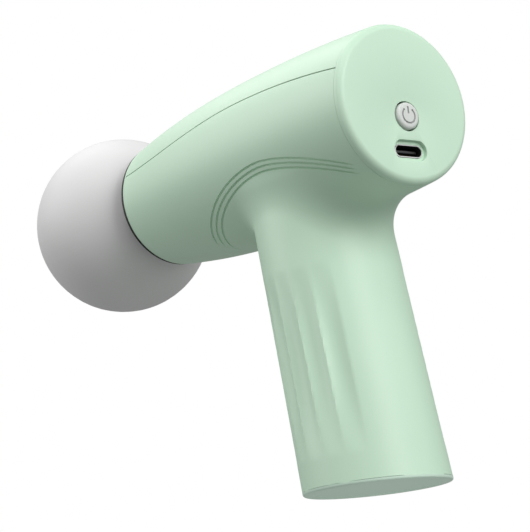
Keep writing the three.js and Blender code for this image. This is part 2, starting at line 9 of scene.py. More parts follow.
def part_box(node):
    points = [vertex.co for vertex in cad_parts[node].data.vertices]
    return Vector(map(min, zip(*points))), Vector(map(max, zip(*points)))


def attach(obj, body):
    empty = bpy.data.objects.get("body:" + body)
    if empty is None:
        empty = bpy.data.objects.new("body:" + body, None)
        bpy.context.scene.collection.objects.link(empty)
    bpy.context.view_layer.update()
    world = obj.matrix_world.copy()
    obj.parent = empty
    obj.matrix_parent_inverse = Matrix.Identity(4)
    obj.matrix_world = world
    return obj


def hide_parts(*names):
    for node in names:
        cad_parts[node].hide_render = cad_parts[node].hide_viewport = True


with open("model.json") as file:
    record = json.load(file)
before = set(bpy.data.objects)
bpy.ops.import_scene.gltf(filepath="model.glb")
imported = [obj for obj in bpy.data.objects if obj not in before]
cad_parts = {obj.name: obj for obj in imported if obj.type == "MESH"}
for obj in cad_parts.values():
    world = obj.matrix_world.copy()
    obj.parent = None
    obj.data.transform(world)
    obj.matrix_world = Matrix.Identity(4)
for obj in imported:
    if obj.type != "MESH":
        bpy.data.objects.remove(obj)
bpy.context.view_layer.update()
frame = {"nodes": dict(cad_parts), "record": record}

# Massage gun with a ball head, built round its CAD model. Sizes are in millimetres and mm turns
# them into metres. +X is towards the ball, +Z is up, and the origin is under the handle.
mm = 0.001
mergeWithin = 0.0005     # points closer than this are one
slideFit = 0.12          # room between a spigot and its bore
record = frame["record"]


# Places that come from the CAD model
def boxOf(node):
    low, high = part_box(node)
    return Vector(low) / mm, Vector(high) / mm


crankJoint = next(j for j in record["behaviour"]["joints"] if j["name"] == "crank_turn")
axisZ = crankJoint["pos_m"][2] / mm        # height of the barrel's axis
rearX = boxOf("rear_cap")[0].x
noseX = boxOf("nose_ring")[1].x
flangeX = boxOf("dust_seal")[1].x
ballLow, ballHigh = boxOf("massage_ball")
ballR = (ballHigh.y - ballLow.y) / 2
ballX = ballHigh.x - ballR
buttonLow, buttonHigh = boxOf("power_button")
buttonZ = (buttonLow.z + buttonHigh.z) / 2
usbLow, usbHigh = boxOf("usb_shell")
usbZ = (usbLow.z + usbHigh.z) / 2
baseR = boxOf("handle_base_cap")[1].y
halfJoint = 0.3
jointX = boxOf("main_housing")[0].x - halfJoint     # middle of the joint between rear cap and housing


# Small helpers for working by hand
def deselectAll():
    if bpy.context.mode != "OBJECT":
        bpy.ops.object.mode_set(mode="OBJECT")
    bpy.ops.object.select_all(action="DESELECT")


def pick(obj):
    deselectAll()
    obj.select_set(True)
    bpy.context.view_layer.objects.active = obj


def editAll(obj):
    pick(obj)
    bpy.ops.object.mode_set(mode="EDIT")
    bpy.ops.mesh.select_all(action="SELECT")


def leaveEdit():
    bpy.ops.object.mode_set(mode="OBJECT")


# Nothing of the mesh is selected, and edges are what gets selected next
def clearSelection(obj):
    pick(obj)
    bpy.ops.object.mode_set(mode="EDIT")
    bpy.ops.mesh.select_mode(type="EDGE")
    bpy.ops.mesh.select_all(action="DESELECT")
    leaveEdit()


def nameIt(name):
    obj = bpy.context.object
    obj.name = name
    obj.data.name = name
    return obj


def bakePlace(obj):
    pick(obj)
    bpy.ops.object.transform_apply(location=True, rotation=True, scale=True)
    return obj


def applyModifier(obj, kind, **values):
    modifier = obj.modifiers.new(kind.title(), kind)
    for key, value in values.items():
        setattr(modifier, key, value)
    pick(obj)
    bpy.ops.object.modifier_apply(modifier=modifier.name)


def combine(obj, other, operation="DIFFERENCE", solver="MANIFOLD"):
    applyModifier(obj, "BOOLEAN", object=other, operation=operation, solver=solver)
    bpy.data.objects.remove(other)
    return obj


def copyOf(obj, name):
    other = obj.copy()
    other.data = obj.data.copy()
    other.name = name
    other.data.name = name
    bpy.context.collection.objects.link(other)
    return other


def finishFaces(obj, angle=28):
    editAll(obj)
    bpy.ops.mesh.remove_doubles(threshold=mergeWithin * mm)
    bpy.ops.mesh.normals_make_consistent(inside=False)
    leaveEdit()
    pick(obj)
    bpy.ops.object.shade_smooth_by_angle(angle=math.radians(angle))
    return obj


def steps(start, end, count):
    return [start + (end - start) * i / count for i in range(count + 1)]


def arcOf(centreR, centreX, radius, fromDeg, toDeg, count=8):
    angles = [math.radians(a) for a in steps(fromDeg, toDeg, count)]
    return [(centreR + radius * math.cos(a), centreX + radius * math.sin(a)) for a in angles]


# A round piece: a circle is extruded ring by ring along its axis and resized at each one.
# profile lists (radius, distance along the axis); one that ends where it began makes a tube.
def turnOut(name, profile, centre=(0.0, 0.0), segments=96, axis="X"):
    def place(distance):
        if axis == "X":
            return Vector((distance, centre[0], centre[1])) * mm
        return Vector((centre[0], centre[1], distance)) * mm

    smallest = 0.004
    tilt = (0, math.pi / 2, 0) if axis == "X" else (0, 0, 0)
    tube = profile[0] == profile[-1]
    radius, at = profile[0]
    deselectAll()
    bpy.ops.mesh.primitive_circle_add(
        vertices=segments, radius=max(radius, smallest) * mm, fill_type="NOTHING",
        location=place(at), rotation=tilt,
    )
    obj = bakePlace(nameIt(name))
    editAll(obj)
    bpy.ops.mesh.select_mode(type="EDGE")
    for nextRadius, nextAt in profile[1:]:
        bpy.ops.mesh.extrude_region_move(
            TRANSFORM_OT_translate={"value": place(nextAt) - place(at)})
        ratio = max(nextRadius, smallest) / max(radius, smallest)
        bpy.ops.transform.resize(value=(ratio, ratio, ratio), center_override=place(nextAt))
        radius, at = nextRadius, nextAt
    bpy.ops.mesh.select_all(action="SELECT")
    bpy.ops.mesh.remove_doubles(threshold=mergeWithin * mm)
    if not tube:
        bpy.ops.mesh.select_all(action="DESELECT")
        bpy.ops.mesh.select_non_manifold()
        bpy.ops.mesh.edge_face_add()
        bpy.ops.mesh.select_all(action="SELECT")
    leaveEdit()
    return finishFaces(obj)


# A bar with round ends across Y, from x = start to end, begun as a cube whose long edges are bevelled
def slotBar(name, width, height, start, end, z, segments=12):
    deselectAll()
    bpy.ops.mesh.primitive_cube_add(size=1, location=((start + end) / 2 * mm, 0, z * mm))
    obj = nameIt(name)
    obj.scale = ((end - start) * mm, width * mm, height * mm)
    bakePlace(obj)
    clearSelection(obj)
    for edge in obj.data.edges:
        a, b = (obj.data.vertices[i].co for i in edge.vertices)
        edge.select = abs(a.x - b.x) > 0.5 * (end - start) * mm
    bpy.ops.object.mode_set(mode="EDIT")
    bpy.ops.mesh.bevel(offset=height / 2 * 0.999 * mm, segments=segments, affect="EDGES")
    leaveEdit()
    return finishFaces(obj)


# A round wire along a route, to be cut out of a piece; sizes scale its radius from point to point
def cuttingWire(name, route, radius, sizes=None):
    curve = bpy.data.curves.new(name, "CURVE")
    curve.dimensions = "3D"
    curve.bevel_depth = radius * mm
    curve.bevel_resolution = 3
    curve.use_fill_caps = True
    spline = curve.splines.new("POLY")
    spline.points.add(len(route) - 1)
    for i, (x, y, z) in enumerate(route):
        spline.points[i].co = (x * mm, y * mm, z * mm, 1)
        spline.points[i].radius = 1 if sizes is None else sizes[i]
    wire = bpy.data.objects.new(name, curve)
    bpy.context.collection.objects.link(wire)
    pick(wire)
    bpy.ops.object.convert(target="MESH")
    return finishFaces(bpy.context.object)


# Rounds the edges whose two ends both pass the test, a function of a point in millimetres
def roundEdges(obj, test, width, segments=3):
    clearSelection(obj)
    mesh = obj.data
    for edge in mesh.edges:
        ends = [mesh.vertices[i].co / mm for i in edge.vertices]
        edge.select = all(test(point) for point in ends)
    bpy.ops.object.mode_set(mode="EDIT")
    bpy.ops.mesh.bevel(offset=width * mm, segments=segments, affect="EDGES", clamp_overlap=True)
    leaveEdit()
    return obj


# Node groups that several finishes share
def newGroup(name, inputs, outputs):
    group = bpy.data.node_groups.new(name, "ShaderNodeTree")
    for title, kind, value in inputs:
        socket = group.interface.new_socket(name=title, in_out="INPUT", socket_type=kind)
        socket.default_value = value
    for title, kind in outputs:
        group.interface.new_socket(name=title, in_out="OUTPUT", socket_type=kind)
    nodes = group.nodes
    return group, nodes.new("NodeGroupInput"), nodes.new("NodeGroupOutput")


def addNode(tree, kind, **values):
    node = tree.nodes.new(kind)
    for key, value in values.items():
        setattr(node, key, value)
    return node


# Moulded plastic's skin: a fine spark texture, broad faint mottling and a roughness that follows
def mouldedSkin():
    group, entry, leave = newGroup(
        "mouldedSkin",
        [("Colour", "NodeSocketColor", (0.5, 0.5, 0.5, 1)), ("Grain", "NodeSocketFloat", 2600.0),
         ("Mottle", "NodeSocketFloat", 0.03), ("Roughness", "NodeSocketFloat", 0.5)],
        [("Colour", "NodeSocketColor"), ("Roughness", "NodeSocketFloat"), ("Height", "NodeSocketFloat")],
    )
    link = group.links.new
    coord = addNode(group, "ShaderNodeTexCoord")
    fine = addNode(group, "ShaderNodeTexNoise")
    fine.inputs["Detail"].default_value = 3
    broad = addNode(group, "ShaderNodeTexNoise")
    broad.inputs["Scale"].default_value = 55
    broad.inputs["Detail"].default_value = 4
    link(coord.outputs["Object"], fine.inputs["Vector"])
    link(coord.outputs["Object"], broad.inputs["Vector"])
    link(entry.outputs["Grain"], fine.inputs["Scale"])
    centred = addNode(group, "ShaderNodeMath", operation="SUBTRACT")
    centred.inputs[1].default_value = 0.5
    link(broad.outputs["Fac"], centred.inputs[0])
    amount = addNode(group, "ShaderNodeMath", operation="MULTIPLY_ADD")
    link(centred.outputs[0], amount.inputs[0])
    link(entry.outputs["Mottle"], amount.inputs[1])
    amount.inputs[2].default_value = 1.0
    shade = addNode(group, "ShaderNodeVectorMath", operation="SCALE")
    link(entry.outputs["Colour"], shade.inputs[0])
    link(amount.outputs[0], shade.inputs["Scale"])
    link(shade.outputs[0], leave.inputs["Colour"])
    rough = addNode(group, "ShaderNodeMath", operation="MULTIPLY_ADD")
    rough.inputs[1].default_value = 0.12
    link(fine.outputs["Fac"], rough.inputs[0])
    link(entry.outputs["Roughness"], rough.inputs[2])
    link(rough.outputs[0], leave.inputs["Roughness"])
    link(fine.outputs["Fac"], leave.inputs["Height"])
    return group


# Turned or drawn metal: fine streaks that run round or along the piece, and faint smears
def metalGrain():
    group, entry, leave = newGroup(
        "metalGrain",
        [("Colour", "NodeSocketColor", (0.5, 0.5, 0.5, 1)), ("Stretch", "NodeSocketVector", (1, 1, 1)),
         ("Roughness", "NodeSocketFloat", 0.3)],
        [("Colour", "NodeSocketColor"), ("Roughness", "NodeSocketFloat"), ("Height", "NodeSocketFloat")],
    )
    link = group.links.new
    coord = addNode(group, "ShaderNodeTexCoord")
    stretched = addNode(group, "ShaderNodeVectorMath", operation="MULTIPLY")
    link(coord.outputs["Object"], stretched.inputs[0])
    link(entry.outputs["Stretch"], stretched.inputs[1])
    streak = addNode(group, "ShaderNodeTexNoise")
    streak.inputs["Scale"].default_value = 900
    streak.inputs["Detail"].default_value = 4
    link(stretched.outputs[0], streak.inputs["Vector"])
    smear = addNode(group, "ShaderNodeTexNoise")
    smear.inputs["Scale"].default_value = 120
    link(coord.outputs["Object"], smear.inputs["Vector"])
    shade = addNode(group, "ShaderNodeMapRange")
    shade.inputs["To Min"].default_value = 0.88
    shade.inputs["To Max"].default_value = 1.06
    link(streak.outputs["Fac"], shade.inputs["Value"])
    tint = addNode(group, "ShaderNodeVectorMath", operation="SCALE")
    link(entry.outputs["Colour"], tint.inputs[0])
    link(shade.outputs[0], tint.inputs["Scale"])
    link(tint.outputs[0], leave.inputs["Colour"])
    rough = addNode(group, "ShaderNodeMath", operation="MULTIPLY_ADD")
    rough.inputs[1].default_value = 0.18
    link(smear.outputs["Fac"], rough.inputs[0])
    link(entry.outputs["Roughness"], rough.inputs[2])
    link(rough.outputs[0], leave.inputs["Roughness"])
    link(streak.outputs["Fac"], leave.inputs["Height"])
    return group


skinGroup = mouldedSkin()
grainGroup = metalGrain()


def newFinish(name):
    material = bpy.data.materials.new(name)
    material.use_nodes = True
    tree = material.node_tree
    return material, tree, tree.nodes["Principled BSDF"]


def connectSkin(tree, shader, group, bumpDistance, bumpStrength):
    link = tree.links.new
    link(group.outputs["Colour"], shader.inputs["Base Color"])
    link(group.outputs["Roughness"], shader.inputs["Roughness"])
    bump = addNode(tree, "ShaderNodeBump")
    bump.inputs["Strength"].default_value = bumpStrength
    bump.inputs["Distance"].default_value = bumpDistance * mm
    link(group.outputs["Height"], bump.inputs["Height"])
    link(bump.outputs["Normal"], shader.inputs["Normal"])


def plasticFinish(name, colour, roughness, grain=2600, mottle=0.03, bump=0.25):
    material, tree, shader = newFinish(name)
    skin = addNode(tree, "ShaderNodeGroup", node_tree=skinGroup)
    skin.inputs["Colour"].default_value = (*colour, 1)
    skin.inputs["Grain"].default_value = grain
    skin.inputs["Mottle"].default_value = mottle
    skin.inputs["Roughness"].default_value = roughness
    connectSkin(tree, shader, skin, 0.02, bump)
    material.diffuse_color = (*colour, 1)
    return material


def metalFinish(name, colour, roughness, stretch=(1, 1, 1), bump=0.2):
    material, tree, shader = newFinish(name)
    grain = addNode(tree, "ShaderNodeGroup", node_tree=grainGroup)
    grain.inputs["Colour"].default_value = (*colour, 1)
    grain.inputs["Stretch"].default_value = stretch
    grain.inputs["Roughness"].default_value = roughness
    connectSkin(tree, shader, grain, 0.01, bump)
    shader.inputs["Metallic"].default_value = 1
    material.diffuse_color = (*colour, 1)
    return material


finishes = {
    "mintPlastic": plasticFinish("mintPlastic", (0.551, 0.745, 0.583), 0.40, mottle=0.035, bump=0.2),
    "basePlastic": plasticFinish("basePlastic", (0.575, 0.735, 0.62), 0.45, mottle=0.035, bump=0.25),
    "ballPlastic": plasticFinish("ballPlastic", (0.695, 0.683, 0.689), 0.5, grain=1800, bump=0.35),
    "buttonPlastic": plasticFinish("buttonPlastic", (0.62, 0.64, 0.615), 0.36, mottle=0.02, bump=0.15),
    "signGrey": plasticFinish("signGrey", (0.36, 0.37, 0.365), 0.5, bump=0.15),
    "blackPlastic": plasticFinish("blackPlastic", (0.012, 0.012, 0.013), 0.35),
    "blackRubber": plasticFinish("blackRubber", (0.014, 0.014, 0.014), 0.6, grain=1500, bump=0.4),
    "framePlastic": plasticFinish("framePlastic", (0.045, 0.05, 0.055), 0.5, grain=1600, bump=0.4),
    "chipEpoxy": plasticFinish("chipEpoxy", (0.02, 0.02, 0.021), 0.45, grain=4000, bump=0.5),
    "cellSleeve": plasticFinish("cellSleeve", (0.035, 0.14, 0.38), 0.3, grain=900, bump=0.1),
    "redSleeve": plasticFinish("redSleeve", (0.42, 0.018, 0.015), 0.42, grain=900, bump=0.1),
    "greyFoam": plasticFinish("greyFoam", (0.09, 0.095, 0.10), 0.85, grain=1100, mottle=0.5, bump=1.0),
    "whiteNylon": plasticFinish("whiteNylon", (0.72, 0.70, 0.64), 0.4),
    "solderMask": plasticFinish("solderMask", (0.015, 0.12, 0.05), 0.28, grain=700, mottle=0.25, bump=0.3),
    "steel": metalFinish("steel", (0.56, 0.57, 0.58), 0.22),
    "brightSteel": metalFinish("brightSteel", (0.5, 0.5, 0.5), 0.14, bump=0.05),
    "stackedSteel": metalFinish("stackedSteel", (0.36, 0.37, 0.39), 0.38, (1, 9, 1), 0.5),
    "aluminium": metalFinish("aluminium", (0.78, 0.79, 0.80), 0.26, (8, 1, 1)),
    "copperWire": metalFinish("copperWire", (0.72, 0.31, 0.14), 0.25, (1, 6, 1), 0.8),
    "bronze": metalFinish("bronze", (0.58, 0.40, 0.17), 0.3),
    "goldPlate": metalFinish("goldPlate", (0.85, 0.62, 0.25), 0.2, bump=0.05),
}
print("finishes made:", len(finishes))


def paint(obj, finish):
    obj.data.materials.clear()
    obj.data.materials.append(finishes[finish])


# Rides, stands for its CAD node and takes its finish, all in one go
def handOver(obj, body, node, finish):
    if not any(obj.data.materials):
        paint(obj, finish)
    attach(obj, body)
    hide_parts(node)
    print("piece done:", obj.name)


# Shell of barrel and handle: rough solids, an even skin, then every point set on the true surface
shell = {
    "bulgeX": 11.7, "bulgeR": 22.8, "rearFall": 0.001, "noseFall": 2.2e-4, "nosePower": 2.4,
    "wall": 2.2, "rake": math.radians(7.91), "handleTopR": 17.65,
    "voxel": 0.65, "overrun": 4.0,
    "blendRear": 10.0, "blendSide": 5.0, "blendFront": 3.0, "blendLeast": 0.4, "blendEnds": (-13.5, -4.0),
    "capJoint": jointX, "jointGap": 0.08, "baseGap": 0.004, "ringWidth": 0.9, "baseJoint": 0.9,
    "seamMiddle": 11.2, "seamMiddleX": 14.7, "seamFrontX": 72.7, "seamRearDrop": 0.0018,
    "seamFrontDrop": 4.6, "seamGap": 0.3,
}
flutes = {"count": 5, "pitch": 18.2, "middle": 87.4, "depth": 1.2, "centreZ": 33.0, "halfLength": 25.0}
grooves = {
    "count": 3, "apexX": 8.5, "apexStep": 0.35, "apexDrop": 7.4, "pitch": 1.3,
    "front": 0.0135, "frontPower": 1.9, "rear": 0.034, "rearPower": 1.6,
    "reachFront": 37.0, "reachRear": 31.5, "reachStep": 0.9, "radius": 0.36, "sink": 0.16, "fade": 0.035,
    "endSize": 0.45, "endLift": 0.7,
}


def barrelR(x):
    t = np.asarray(x, float) - shell["bulgeX"]
    fall = np.where(t < 0, shell["rearFall"] * t * t,
                    shell["noseFall"] * np.abs(t) ** shell["nosePower"])
    return shell["bulgeR"] - fall


def handleR(z):
    return baseR + (shell["handleTopR"] - baseR) * np.asarray(z, float) / axisZ


def smoothStep(low, high, value):
    t = np.clip((value - low) / (high - low), 0, 1)
    return t * t * (3 - 2 * t)


# Signed distance to the outside of the shell, in millimetres, for an array of points
def shellField(p):
    x, y, z = p[:, 0], p[:, 1], p[:, 2]
    barrel = np.hypot(y, z - axisZ) - barrelR(x)
    across = (x - z * math.tan(shell["rake"])) * math.cos(shell["rake"])
    handle = np.hypot(across, y) - handleR(z)
    # flutes on both sides of the grip: shallow scallops with ridges between, pointed at their ends
    around = np.degrees(np.arctan2(np.abs(y), -across))
    count, pitch = flutes["count"], flutes["pitch"]
    index = (around - flutes["middle"]) / pitch + count / 2
    inside = (index > 0) & (index < count)
    u = index - np.floor(index)
    lens = np.clip(1 - ((z - flutes["centreZ"]) / flutes["halfLength"]) ** 2, 0, 1)
    scallop = 4 * u * (1 - u)
    handle = handle + np.where(inside, flutes["depth"] * scallop * lens ** 1.2, 0)
    handle = np.maximum(handle, z - axisZ)
    # the blend between the two is wide at the back and tight at the front
    towardRear = -across / np.maximum(np.hypot(across, y), 1e-6)
    k = shell["blendSide"] + (shell["blendRear"] - shell["blendSide"]) * smoothStep(0.1, 1, towardRear)
    k = k + (shell["blendFront"] - shell["blendSide"]) * smoothStep(0.2, 1, -towardRear)
    fade = 1 - smoothStep(*shell["blendEnds"], z - axisZ)
    k = shell["blendLeast"] + (k - shell["blendLeast"]) * fade
    h = np.maximum(k - np.abs(barrel - handle), 0) / k
    return np.minimum(barrel, handle) - h * h * k / 4


def fieldSlope(p):
    e = 0.02
    slope = np.empty_like(p)
    for axis in range(3):
        shift = np.zeros(3)
        shift[axis] = e
        slope[:, axis] = (shellField(p + shift) - shellField(p - shift)) / (2 * e)
    return slope


def setOnSurface(p, rounds=6, reach=1.2):
    for _ in range(rounds):
        value = shellField(p)
        slope = fieldSlope(p)
        length = np.maximum((slope ** 2).sum(1), 0.05)
        move = -(value / length)[:, None] * slope
        far = np.linalg.norm(move, axis=1, keepdims=True)
        p = p + move * np.minimum(1, reach / np.maximum(far, 1e-9))
    return p


# Leans an upright piece to the handle's rake, about the origin
def lean(piece, stretch=1):
    for vertex in piece.data.vertices:
        vertex.co.x = vertex.co.x * stretch + vertex.co.z * math.tan(shell["rake"])
    return piece


def roughShell():
    over = shell["overrun"]
    start, end = rearX - over, noseX + over
    barrel = turnOut("shellBody", [(float(barrelR(x)), x) for x in steps(start, end, 24)], (0, axisZ))
    grip = [(float(handleR(z)), z) for z in steps(-over, axisZ, 10)]
    handle = turnOut("handleBody", grip, segments=72, axis="Z")
    lean(handle)
    combine(barrel, handle, "UNION")
    applyModifier(barrel, "REMESH", mode="VOXEL", voxel_size=shell["voxel"] * mm)
    mesh = barrel.data
    flat = np.empty(len(mesh.vertices) * 3)
    mesh.vertices.foreach_get("co", flat)
    points = flat.reshape(-1, 3) / mm
    ends = (points[:, 0] < start + 1.3) | (points[:, 0] > end - 1.3) | (points[:, 2] < -over + 1.3)
    skin = ~ends
    points[skin] = setOnSurface(points[skin])
    mesh.vertices.foreach_set("co", (points * mm).ravel())
    mesh.update()
    return barrel


# The block of space above the seam between main housing and top cover, its floor bent to the seam
def seamHeight(x):
    if x < shell["seamMiddleX"]:
        return shell["seamMiddle"] - shell["seamRearDrop"] * (x - shell["seamMiddleX"]) ** 2
    t = min(1, (x - shell["seamMiddleX"]) / (shell["seamFrontX"] - shell["seamMiddleX"]))
    return shell["seamMiddle"] - shell["seamFrontDrop"] * (0.5 - 0.5 * math.cos(math.pi * t))


def seamBlock(name, offset):
    start, end, cells = rearX - 8, noseX + 8, 60
    deselectAll()
    bpy.ops.mesh.primitive_grid_add(
        x_subdivisions=cells, y_subdivisions=1, size=1,
        location=((start + end) / 2 * mm, 0, axisZ * mm),
    )
    block = nameIt(name)
    block.scale = ((end - start) * mm, 70 * mm, 1)
    bakePlace(block)
    for vertex in block.data.vertices:
        vertex.co.z += (seamHeight(vertex.co.x / mm) + offset) * mm
    editAll(block)
    bpy.ops.mesh.extrude_region_move(TRANSFORM_OT_translate={"value": (0, 0, 40 * mm)})
    leaveEdit()
    return finishFaces(block)


def cutFlat(obj, place, normal):
    editAll(obj)
    bpy.ops.mesh.bisect(plane_co=Vector(place) * mm, plane_no=normal, use_fill=True, clear_outer=True)
    leaveEdit()


# A point of the shell's side at (x, z), found by halving between the middle plane and outside
def sideOf(x, z):
    low = np.zeros(len(x))
    high = np.full(len(x), 32.0)
    for _ in range(40):
        middle = (low + high) / 2
        outside = shellField(np.stack([x, middle, z], 1)) > 0
        high = np.where(outside, middle, high)
        low = np.where(outside, low, middle)
    return low


# Round-bottomed grooves that arch over the root of the handle, cut with tapering wires
def grooveWires():
    wires = []
    for i in range(grooves["count"]):
        dx = np.linspace(i * grooves["reachStep"] - grooves["reachRear"],
                         grooves["reachFront"] - i * grooves["reachStep"], 120)
        fall = np.where(dx < 0, grooves["rear"] * np.abs(dx) ** grooves["rearPower"],
                        grooves["front"] * np.abs(dx) ** grooves["frontPower"])
        x = grooves["apexX"] - i * grooves["apexStep"] + dx
        z = axisZ - grooves["apexDrop"] - grooves["pitch"] * i - fall
        y = sideOf(x, z)
        along = np.linspace(0, 1, len(dx))
        swell = smoothStep(0, grooves["fade"], np.minimum(along, 1 - along))
        points = np.stack([x, y, z], 1)
        outward = fieldSlope(points)
        outward /= np.linalg.norm(outward, axis=1, keepdims=True)
        lift = grooves["endLift"] * grooves["radius"] * (1 - swell) - grooves["sink"]
        points = points + outward * lift[:, None]
        for side in (1, -1):
            route = [(x, side * y, z) for x, y, z in points]
            thin = grooves["endSize"]
            wires.append(cuttingWire("grooveWire", route, grooves["radius"], thin + (1 - thin) * swell))
    return wires


def makeShell():
    body = roughShell()
    print("shell skin:", len(body.data.vertices), "points")
    gap, wall, over = shell["jointGap"], shell["wall"], shell["overrun"]
    cutFlat(body, (shell["capJoint"] + gap, 0, 0), (-1, 0, 0))
    cutFlat(body, (noseX - shell["ringWidth"] - gap / 2, 0, 0), (1, 0, 0))
    cutFlat(body, (0, 0, shell["baseJoint"] + shell["baseGap"] / 2), (0, 0, -1))
    start, end = rearX - over, noseX + over
    barrelWall = [(float(barrelR(x)) - wall, x) for x in steps(start, end, 20)]
    hollow = turnOut("barrelHollow", barrelWall, (0, axisZ))
    gripWall = [(float(handleR(z)) - wall, z) for z in steps(-over, axisZ, 6)]
    grip = turnOut("gripHollow", gripWall, axis="Z")
    lean(grip)
    combine(body, hollow)
    combine(body, grip)
    for wire in grooveWires():
        combine(body, wire)
    print("grooves cut")
    cover = copyOf(body, "topCover")
    combine(cover, seamBlock("coverBlock", shell["seamGap"] / 2), "INTERSECT")
    combine(body, seamBlock("bodyBlock", -shell["seamGap"] / 2), "DIFFERENCE")
    body.name = "mainHousing"
    body.data.name = "mainHousing"
    for piece in (body, cover):
        finishFaces(piece, 30)
    return body, cover


housing, cover = makeShell()
handOver(housing, "housing", "main_housing", "mintPlastic")
handOver(cover, "housing", "top_cover", "mintPlastic")

# Rear cap: a cup with a rounded rim, a hole for the button and a recess for the socket
cap = {
    "rim": 1.9, "lip": 4.0, "lipWall": 1.4, "buttonHole": 4.0, "holeEdge": 0.15,
    "recessWidth": 10.7, "recessHeight": 5.4, "recessDepth": 1.1, "recessEdge": 0.2, "socketGap": 0.12,
}


def makeRearCap():
    wall, joint = shell["wall"], shell["capJoint"]
    outer = float(barrelR(rearX + cap["rim"]))
    rim = arcOf(outer - cap["rim"], rearX + cap["rim"], cap["rim"], -90, 0, 12)
    lipR = float(barrelR(joint + cap["lip"])) - wall - slideFit
    lipEnd = joint + cap["lip"]
    inside = lipR - cap["lipWall"]
    profile = [(0, rearX), *rim, (float(barrelR(joint)), joint), (lipR, joint), (lipR, lipEnd),
               (inside, lipEnd), (inside, rearX + wall), (0, rearX + wall)]
    piece = turnOut("rearCap", profile, (0, axisZ), segments=128)
    bore = cap["buttonHole"]
    hole = turnOut("buttonHole", [(bore, rearX - 1), (bore, rearX + 5)], (0, buttonZ), 64)
    combine(piece, hole, solver="EXACT")
    floorX = rearX + cap["recessDepth"]
    recess = slotBar("recess", cap["recessWidth"], cap["recessHeight"], rearX - 1, floorX, usbZ)
    combine(piece, recess, solver="EXACT")
    shellWide, shellHigh = usbHigh.y - usbLow.y, usbHigh.z - usbLow.z
    extra = 2 * cap["socketGap"]
    window = slotBar("window", shellWide + extra, shellHigh + extra, rearX, rearX + 5, usbZ)
    combine(piece, window, solver="EXACT")

    def onFace(point):
        return abs(point.x - rearX) < 0.01

    def atHole(point):
        return onFace(point) and math.hypot(point.y, point.z - buttonZ) < cap["buttonHole"] + 0.05

    def atRecess(point):
        inWidth = abs(point.y) < cap["recessWidth"] / 2 + 0.05
        inHeight = abs(point.z - usbZ) < cap["recessHeight"] / 2 + 0.05
        return onFace(point) and inWidth and inHeight

    roundEdges(piece, atHole, cap["holeEdge"])
    roundEdges(piece, atRecess, cap["recessEdge"])
    return finishFaces(piece, 30)


handOver(makeRearCap(), "housing", "rear_cap", "mintPlastic")

# Nose ring, dust seal and base cap
nose = {
    "bore": 14.5, "bevel": 0.55, "spigot": 5.0,
    "sealSetBack": 3.1, "sealDepth": 2.4, "pistonR": 6.5, "pistonFit": 0.15,
    "sleeve": 1.0, "flangeR": 18.0, "flangeStart": 0.12, "flangeEdge": 0.1, "flangeProud": 0.35,
}
base = {"edge": 0.55, "lap": 0.05, "spigot": 2.5, "wall": 1.2, "foot": 0.25}


def makeNoseRing():
    back = noseX - shell["ringWidth"]
    spigotR = float(barrelR(back)) - shell["wall"] - slideFit
    outer, bevel = float(barrelR(back)), nose["bevel"]
    bore, tail = nose["bore"], back - nose["spigot"]
    profile = [(bore, tail), (spigotR, tail), (spigotR, back), (outer, back),
               *arcOf(outer - bevel, noseX - bevel, bevel, 0, 90, 6),
               (bore + 0.5, noseX), (bore, noseX - 0.5), (bore, tail)]
    return turnOut("noseRing", profile, (0, axisZ), segments=128)


def makeDustSeal():
    outer, inner = nose["bore"] - slideFit, nose["pistonR"] + nose["pistonFit"]
    floorX = noseX - nose["sealSetBack"]
    back = floorX - nose["sealDepth"]
    waves = [(r, floorX - 0.55 - 0.55 * math.cos(math.pi * (outer - r) / 1.6))
             for r in steps(outer - nose["sleeve"] - 0.3, inner, 26)]
    sleeveR, flangeR, edge = outer - nose["sleeve"], nose["flangeR"], nose["flangeEdge"]
    front = flangeX + nose["flangeProud"]
    profile = [(outer, back), (outer, noseX + nose["flangeStart"]), (flangeR, noseX + nose["flangeStart"]),
               (flangeR, front - edge), (flangeR - edge, front), (sleeveR, front), (sleeveR, floorX),
               *waves, (inner, back), (outer, back)]
    return turnOut("dustSeal", profile, (0, axisZ), segments=128)


def makeBaseCap():
    edge, top = base["edge"], shell["baseJoint"] - shell["baseGap"] / 2
    inner = float(handleR(top + base["spigot"])) - shell["wall"] - slideFit
    profile = [(0, base["foot"]), (baseR - edge - 2.4, base["foot"]), (baseR - edge - 2.1, 0),
               *arcOf(baseR - edge, edge, edge, -90, 0, 6), (float(handleR(top)) + base["lap"], top),
               (inner, top), (inner, top + base["spigot"]), (inner - base["wall"], top + base["spigot"]),
               (inner - base["wall"], 2.2), (0, 2.2)]
    piece = turnOut("baseCap", profile, segments=128, axis="Z")
    return lean(piece, 1 / math.cos(shell["rake"]))


handOver(makeNoseRing(), "housing", "nose_ring", "mintPlastic")
handOver(makeDustSeal(), "housing", "dust_seal", "blackRubber")
handOver(makeBaseCap(), "housing", "handle_base_cap", "basePlastic")

# Power button: a round cap with a sunken ring-and-bar sign
button = {
    "radius": 3.55, "edge": 0.75, "flange": 4.8, "flangeDepth": 0.65,
    "signR": 2.0, "line": 0.26, "openDeg": 36, "barTop": 2.35, "barEnd": 0.5, "sink": 0.04,
}


# The sign's lines lie just under the button's face; points are (y, z) from its middle
def signWire(points):
    depth = buttonLow.x + button["sink"]
    return cuttingWire("signWire", [(depth, y, buttonZ + z) for y, z in points], button["line"])


